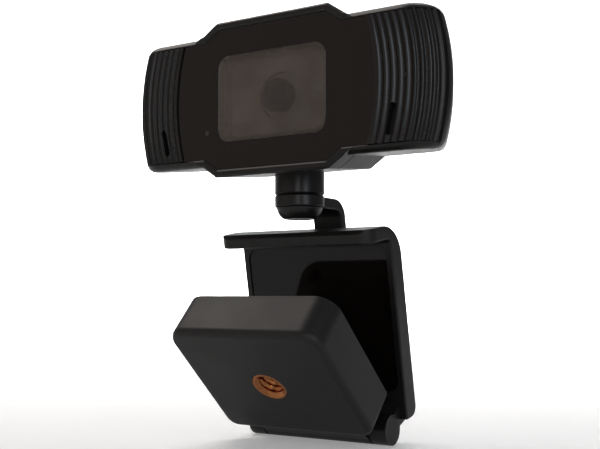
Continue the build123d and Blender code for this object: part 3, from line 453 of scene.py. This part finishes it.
# ---- cross-recessed screws --------------------------------------------------
def screw_tree():
    """A cross-recessed screw at each point of the mesh it is given."""
    length = "NodeSocketFloat"
    tree, given, out = new_tree("Screws", [
        ("Head Radius", length), ("Head Height", length), ("Shank Radius", length), ("Length", length),
        ("Recess Width", length), ("Turn", "NodeSocketVector"), ("Material", "NodeSocketMaterial")])
    get = given.outputs
    crown = add(tree, "ShaderNodeMath", {0: get["Head Radius"], 1: 0.8}, operation="MULTIPLY")
    head = add(tree, "GeometryNodeMeshCone",
               {"Vertices": 24, "Radius Top": crown.outputs[0], "Radius Bottom": get["Head Radius"],
                "Depth": get["Head Height"]})
    half = add(tree, "ShaderNodeMath", {0: get["Length"], 1: -0.5}, operation="MULTIPLY")
    down = add(tree, "ShaderNodeCombineXYZ", {"Z": half.outputs[0]})
    rod = add(tree, "GeometryNodeMeshCylinder",
              {"Vertices": 16, "Radius": get["Shank Radius"], "Depth": get["Length"]})
    shank = add(tree, "GeometryNodeTransform", {0: rod.outputs[0], "Translation": down.outputs[0]})
    whole = add(tree, "GeometryNodeMeshBoolean", {"Mesh 2": [head.outputs[0], shank.outputs[0]]},
                operation="UNION", solver="EXACT")
    arm = add(tree, "ShaderNodeMath", {0: get["Head Radius"], 1: 1.1}, operation="MULTIPLY")
    bars = []
    for turn in (False, True):
        sizes = {"X": get["Recess Width"], "Y": arm.outputs[0]} if turn else {
            "X": arm.outputs[0], "Y": get["Recess Width"]}
        size = add(tree, "ShaderNodeCombineXYZ", {**sizes, "Z": get["Head Height"]})
        bar = add(tree, "GeometryNodeMeshCube", {"Size": size.outputs[0]})
        lift = add(tree, "ShaderNodeMath", {0: get["Head Height"], 1: 0.85}, operation="MULTIPLY")
        raise_by = add(tree, "ShaderNodeCombineXYZ", {"Z": lift.outputs[0]})
        bars.append(add(tree, "GeometryNodeTransform",
                        {0: bar.outputs[0], "Translation": raise_by.outputs[0]}).outputs[0])
    cut = add(tree, "GeometryNodeMeshBoolean", {"Mesh 1": whole.outputs[0], "Mesh 2": bars},
              operation="DIFFERENCE", solver="EXACT")
    spots = add(tree, "GeometryNodeInstanceOnPoints",
                {"Points": get["Geometry"], "Instance": cut.outputs[0], "Rotation": get["Turn"]})
    real = add(tree, "GeometryNodeRealizeInstances", {0: spots.outputs[0]})
    coated = add(tree, "GeometryNodeSetMaterial", {0: real.outputs[0], "Material": get["Material"]})
    tree.links.new(coated.outputs[0], out.inputs[0])
    return tree


# ---- settings ---------------------------------------------------------------
class WebcamSizes(bpy.types.PropertyGroup):
    """Sizes of the parts that are drawn here."""

    rib_depth: bpy.props.FloatProperty(
        name="Rib Depth", description="Depth of the grooves between the ribs of the grips",
        default=0.42 * MM, min=0.0, max=1.0 * MM, precision=5, unit="LENGTH")
    rib_pitch: bpy.props.FloatProperty(
        name="Rib Pitch", description="Distance from rib to rib along the surface",
        default=1.65 * MM, min=1.0 * MM, max=3.0 * MM, precision=5, unit="LENGTH")
    rib_count: bpy.props.IntProperty(
        name="Rib Count", description="Number of grooves on each grip", default=10, min=0, max=16)
    thread_pitch: bpy.props.FloatProperty(
        name="Thread Pitch", description="Pitch of the tripod thread",
        default=1.27 * MM, min=0.5 * MM, max=2.0 * MM, precision=5, unit="LENGTH")
    recess_width: bpy.props.FloatProperty(
        name="Recess Width", description="Width of the cross recess in the screws",
        default=0.55 * MM, min=0.2 * MM, max=1.0 * MM, precision=5, unit="LENGTH")


class WebcamColours(bpy.types.PropertyGroup):
    """Colours of the main finishes."""

    shell: bpy.props.FloatVectorProperty(
        name="Shell", description="Satin black of the head, neck and bracket",
        subtype="COLOR", size=4, min=0.0, max=1.0, default=from_hex("#1b1a19"))
    foot: bpy.props.FloatVectorProperty(
        name="Foot", description="Matte black of the folding foot",
        subtype="COLOR", size=4, min=0.0, max=1.0, default=from_hex("#222121"))
    gloss: bpy.props.FloatVectorProperty(
        name="Gloss", description="Black of the fascia and the bracket's liner",
        subtype="COLOR", size=4, min=0.0, max=1.0, default=from_hex("#0f0b09"))
    pane: bpy.props.FloatVectorProperty(
        name="Pane", description="Tint of the smoked pane",
        subtype="COLOR", size=4, min=0.0, max=1.0, default=from_hex("#d8d4d0"))
    insert: bpy.props.FloatVectorProperty(
        name="Insert", description="Metal of the tripod insert",
        subtype="COLOR", size=4, min=0.0, max=1.0, default=from_hex("#cd8655"))


# ---- operators --------------------------------------------------------------
class WEBCAM_OT_finishes(bpy.types.Operator):
    """Makes the finishes and coats the CAD parts that keep their own mesh"""

    bl_idname = "webcam.finishes"
    bl_label = "Finishes"

    def execute(self, context):
        made = make_finishes(context.scene.webcam_colours)
        context.scene["webcam_finishes"] = {key: material.name for key, material in made.items()}
        for finish, nodes in FINISHES.items():
            for node in nodes:
                coat_node(node, finish)
        return {"FINISHED"}


class WEBCAM_OT_grips(bpy.types.Operator):
    """Builds the ribbed grips at both ends of the head"""

    bl_idname = "webcam.grips"
    bl_label = "Grips"

    def execute(self, context):
        sizes = context.scene.webcam_sizes
        low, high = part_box("right_grip")
        mid_height = (low.z + high.z) / 2
        start, corner_radius = 25.9 * MM, 6.0 * MM   # the fascia's edge; the end's corner in plan
        corner = 39.9 * MM - corner_radius
        mesh = from_tree("grip_right_mesh", grip_tree(), {
            "Start": start, "Corner": corner, "End": corner + 8.3 * MM, "Front": low.y,
            "Reach": corner_radius, "Low": low.z, "High": high.z, "Bulge Radius": 46 * MM,
            "Thickness": 1.2 * MM, "Rib Start": 26.65 * MM, "Rib Pitch": sizes.rib_pitch,
            "Rib Count": sizes.rib_count, "Rib Depth": sizes.rib_depth,
            "Slot X": 29.4 * MM, "Slot Z": mid_height - 8.5 * MM, "Slot Length": 6.6 * MM,
            "Slot Width": 1.4 * MM, "Slot Lean": math.radians(13),
            "Material": finish_named("ribbed_abs")})
        mirrored = mesh.copy()
        mirrored.name = "grip_left_mesh"
        mirrored.transform(Matrix.Scale(-1, 4, (1, 0, 0)))
        mirrored.flip_normals()
        as_object("grip_right", mesh, "head", ["right_grip"])
        as_object("grip_left", mirrored, "head", ["left_grip"])
        return {"FINISHED"}


class WEBCAM_OT_insert(bpy.types.Operator):
    """Builds the tripod insert with a real thread"""

    bl_idname = "webcam.insert"
    bl_label = "Tripod Insert"

    def execute(self, context):
        pitch = context.scene.webcam_sizes.thread_pitch
        low, high = turned_box("tripod_insert", FOOT_TURN)
        flange, barrel, bore, crest = 4.0 * MM, 3.7 * MM, 2.62 * MM, 0.5 * MM
        flange_height, flange_edge, countersink = 1.0 * MM, 0.12 * MM, 0.85 * MM
        mouth, floor, bevel = low.y, high.y - 0.8 * MM, 0.7 * MM
        lead_in, thread_start, thread_end = 0.55 * MM, 0.4 * MM, 0.5 * MM
        steps, rings_per_turn = 72, 10
        outside = [(barrel, high.y), (barrel, mouth + flange_height), (flange, mouth + flange_height),
                   (flange, mouth + flange_edge), (flange - flange_edge, mouth), (bore + countersink, mouth)]

        def bore_radius(depth, angle):
            """Radius of the threaded bore at a depth and an angle."""
            fade_in = (depth - mouth - lead_in) / thread_start
            fade_out = (floor - depth) / thread_end
            fade = max(0.0, min(1.0, fade_in, fade_out))
            phase = ((depth - mouth) / pitch - angle / (2 * math.pi)) % 1.0
            return bore + crest * fade * (1 - abs(2 * phase - 1))

        shape = bmesh.new()
        angles = [2 * math.pi * i / steps for i in range(steps)]

        def ring(radii, depth):
            """Closed ring of points at a depth."""
            return [shape.verts.new((r * math.cos(a), depth, r * math.sin(a)))
                    for r, a in zip(radii, angles)]

        rings = [ring([radius] * steps, depth) for radius, depth in outside]
        count = int((floor - mouth - bevel) / pitch * rings_per_turn)
        for index in range(count + 1):
            depth = mouth + bevel + (floor - mouth - bevel) * index / count
            rings.append(ring([bore_radius(depth, angle) for angle in angles], depth))
        for outer, inner in zip(rings, rings[1:]):
            for i in range(steps):
                j = (i + 1) % steps
                shape.faces.new((outer[i], outer[j], inner[j], inner[i]))
        shape.faces.new(rings[0])
        shape.faces.new(reversed(rings[-1]))
        bmesh.ops.recalc_face_normals(shape, faces=shape.faces)
        centre = (low + high) / 2
        shape.transform(Matrix.Translation((centre.x, 0, centre.z)))
        shape.transform(Matrix.Rotation(FOOT_TURN, 4, "X"))
        mesh = bpy.data.meshes.new("insert_mesh")
        shape.to_mesh(mesh)
        shape.free()
        as_object("threaded_insert", mesh, "foot", ["tripod_insert"], finish_named("brass"))
        return {"FINISHED"}


class WEBCAM_OT_screws(bpy.types.Operator):
    """Builds the cross-recessed screws of the case, the board and the foot"""

    bl_idname = "webcam.screws"
    bl_label = "Screws"

    def execute(self, context):
        tree = screw_tree()
        groups = (("case_screws", "head", 0.0, 1.9, 0.9, 1.0, "black_steel"),
                  ("board_screws", "head", 0.0, 1.9, 0.9, 1.0, "zinc_steel"),
                  ("foot_screws", "foot", FOOT_TURN, 1.8, 0.8, 0.9, "black_steel"))
        for node, body, turn, head_mm, height_mm, shank_mm, finish in groups:
            low, high = turned_box(node, turn)
            radius, height = head_mm * MM, height_mm * MM
            place = Matrix.Rotation(turn, 4, "X")
            points = [place @ Vector((x, high.y - height, z))
                      for x in (low.x + radius, high.x - radius)
                      for z in (low.z + radius, high.z - radius)]
            mesh = from_tree(node + "_mesh", tree, {
                "Head Radius": radius, "Head Height": height, "Shank Radius": shank_mm * MM,
                "Length": high.y - height - low.y, "Recess Width": context.scene.webcam_sizes.recess_width,
                "Turn": (turn - math.pi / 2, 0.0, 0.0), "Material": finish_named(finish)}, points)
            as_object(node + "_recessed", mesh, body, [node])
        return {"FINISHED"}


class WEBCAM_OT_studio(bpy.types.Operator):
    """Sets up the pale floor, the soft lights and the camera"""

    bl_idname = "webcam.studio"
    bl_label = "Studio"

    def execute(self, context):
        scene = context.scene
        floor_level = cad_box[0].z
        # pale paper: glows evenly where it is looked at; in the webcam's reflections it is darker and
        # carries a flat painted glow, so the shade round the webcam doesn't show in them
        material, tree = new_material("pale_studio_floor")
        place = add(tree, "ShaderNodeTexCoord").outputs["Object"]
        mottle = add(tree, "ShaderNodeTexNoise", {"Vector": place, "Scale": 6.0})
        base = two_tones(tree, mottle.outputs["Fac"], from_hex("#f2f2f2"), from_hex("#f6f6f6"))
        path = add(tree, "ShaderNodeLightPath").outputs
        mirrored = add(tree, "ShaderNodeMix",
                       {"Factor": path["Is Glossy Ray"], 6: base, 7: from_hex("#8c8c8c")}, data_type="RGBA")
        # painted glow, named sheen: the floor glows evenly in reflections, standing in for its lit and
        # shaded look
        sheen = add(tree, "ShaderNodeMath", {0: path["Is Glossy Ray"], 1: 0.18}, operation="MULTIPLY")
        glow = add(tree, "ShaderNodeMath", {0: path["Is Camera Ray"], 1: 0.25, 2: sheen.outputs[0]},
                   operation="MULTIPLY_ADD")
        shader = add(tree, "ShaderNodeBsdfPrincipled",
                     {"Base Color": mirrored.outputs[2], "Roughness": 0.9, "Emission Color": (1, 1, 1, 1),
                      "Emission Strength": glow.outputs[0]})
        finish_material(material, shader.outputs["BSDF"])

        # floor that curves up into a wall behind the webcam, turned to face the camera
        away = math.radians(33.5)
        front, bend, bend_radius, top, left, right, steps = -2.5, 0.9, 0.6, 2.6, -1.8, 1.2, 16
        turns = [math.pi / 2 * i / steps for i in range(1, steps + 1)]
        section = [(front, 0.0), (bend, 0.0)]
        section += [(bend + bend_radius * math.sin(a), bend_radius * (1 - math.cos(a))) for a in turns]
        section.append((bend + bend_radius, top))
        mesh = bpy.data.meshes.new("sweep_mesh")
        points = [(x, y, floor_level + z) for y, z in section for x in (left, right)]
        faces = [(2 * i, 2 * i + 1, 2 * i + 3, 2 * i + 2) for i in range(len(section) - 1)]
        mesh.from_pydata(points, [], faces)
        mesh.transform(Matrix.Rotation(away, 4, "Z"))
        mesh.shade_smooth()
        mesh.materials.append(material)
        sweep = bpy.data.objects.new("studio_sweep", mesh)
        scene.collection.objects.link(sweep)

        # dim air for the reflections, pale where it is seen past the floor's edge
        world = bpy.data.worlds.new("studio_air")
        world.use_nodes = True
        air = world.node_tree
        air.nodes.clear()
        seen = add(air, "ShaderNodeLightPath").outputs["Is Camera Ray"]
        strength = add(air, "ShaderNodeMapRange", {0: seen, 3: 0.12, 4: 0.9})
        background = add(air, "ShaderNodeBackground",
                         {"Color": from_hex("#f4f6fa"), "Strength": strength.outputs["Result"]})
        add(air, "ShaderNodeOutputWorld", {"Surface": background.outputs[0]})
        scene.world = world

        def softbox(name, place, aim, width, height, power, colour="#ffffff", spread=180.0):
            """Rectangular soft light at a place, aimed at a point, with its grid's opening in degrees."""
            lamp = bpy.data.lights.new(name, "AREA")
            lamp.shape, lamp.size, lamp.size_y = "RECTANGLE", width, height
            lamp.energy, lamp.color, lamp.spread = power, from_hex(colour)[:3], math.radians(spread)
            light = bpy.data.objects.new(name, lamp)
            light.location = place
            light.rotation_mode = "QUATERNION"
            light.rotation_quaternion = (Vector(place) - Vector(aim)).to_track_quat("Z", "Y")
            scene.collection.objects.link(light)

        centre = (0, 0.01, 0.035)
        softbox("key_softbox", (-0.45, 0.02, 0.70), centre, 0.45, 0.45, 1.55, "#fff6ee")
        softbox("side_softbox", (0.66, -0.34, 0.26), centre, 0.22, 0.5, 0.9, "#eef4ff")
        softbox("room_card", (-0.50, -0.77, 0.24), centre, 0.9, 0.75, 0.42, "#ffe6d6")
        softbox("strip_light", (0.30, -0.62, 0.12), centre, 0.08, 0.5, 0.4)
        softbox("wall_wash", (-0.55, 0.78, 1.5), (-0.60, 0.92, 0.0), 1.6, 0.6, 27.0, spread=76.0)

        lens = bpy.data.cameras.new("camera")
        lens.sensor_width, lens.lens = 36.0, 59.45
        lens.clip_start, lens.clip_end = 0.01, 20.0
        camera = bpy.data.objects.new("camera", lens)
        camera.location = (0.1218, -0.1729, 0.0190)
        camera.rotation_mode = "QUATERNION"
        ahead = Vector((-0.5503, 0.8321, 0.0705))
        camera.rotation_quaternion = ahead.to_track_quat("-Z", "Y")
        scene.collection.objects.link(camera)
        scene.camera = camera
        scene.view_settings.view_transform = "Standard"
        return {"FINISHED"}


class WEBCAM_PT_panel(bpy.types.Panel):
    """Lists the webcam's build steps"""

    bl_idname = "WEBCAM_PT_panel"
    bl_label = "Webcam"
    bl_space_type = "VIEW_3D"
    bl_region_type = "UI"
    bl_category = "Webcam"

    def draw(self, context):
        layout = self.layout
        for group in (context.scene.webcam_sizes, context.scene.webcam_colours):
            for name in group.__annotations__:
                layout.prop(group, name)
        for operator in OPERATORS:
            layout.operator(operator.bl_idname)


OPERATORS = (WEBCAM_OT_finishes, WEBCAM_OT_grips, WEBCAM_OT_insert, WEBCAM_OT_screws, WEBCAM_OT_studio)
CLASSES = (WebcamSizes, WebcamColours, *OPERATORS, WEBCAM_PT_panel)


def register():
    """Registers the classes and hangs the settings on the scene."""
    for cls in CLASSES:
        bpy.utils.register_class(cls)
    bpy.types.Scene.webcam_sizes = bpy.props.PointerProperty(type=WebcamSizes)
    bpy.types.Scene.webcam_colours = bpy.props.PointerProperty(type=WebcamColours)


def unregister():
    """Takes the settings and the classes away again."""
    del bpy.types.Scene.webcam_colours
    del bpy.types.Scene.webcam_sizes
    for cls in reversed(CLASSES):
        bpy.utils.unregister_class(cls)


def main():
    """Builds the whole webcam."""
    register()
    bpy.ops.webcam.finishes()
    bpy.ops.webcam.grips()
    bpy.ops.webcam.insert()
    bpy.ops.webcam.screws()
    bpy.ops.webcam.studio()


if __name__ == "__main__":
    main()
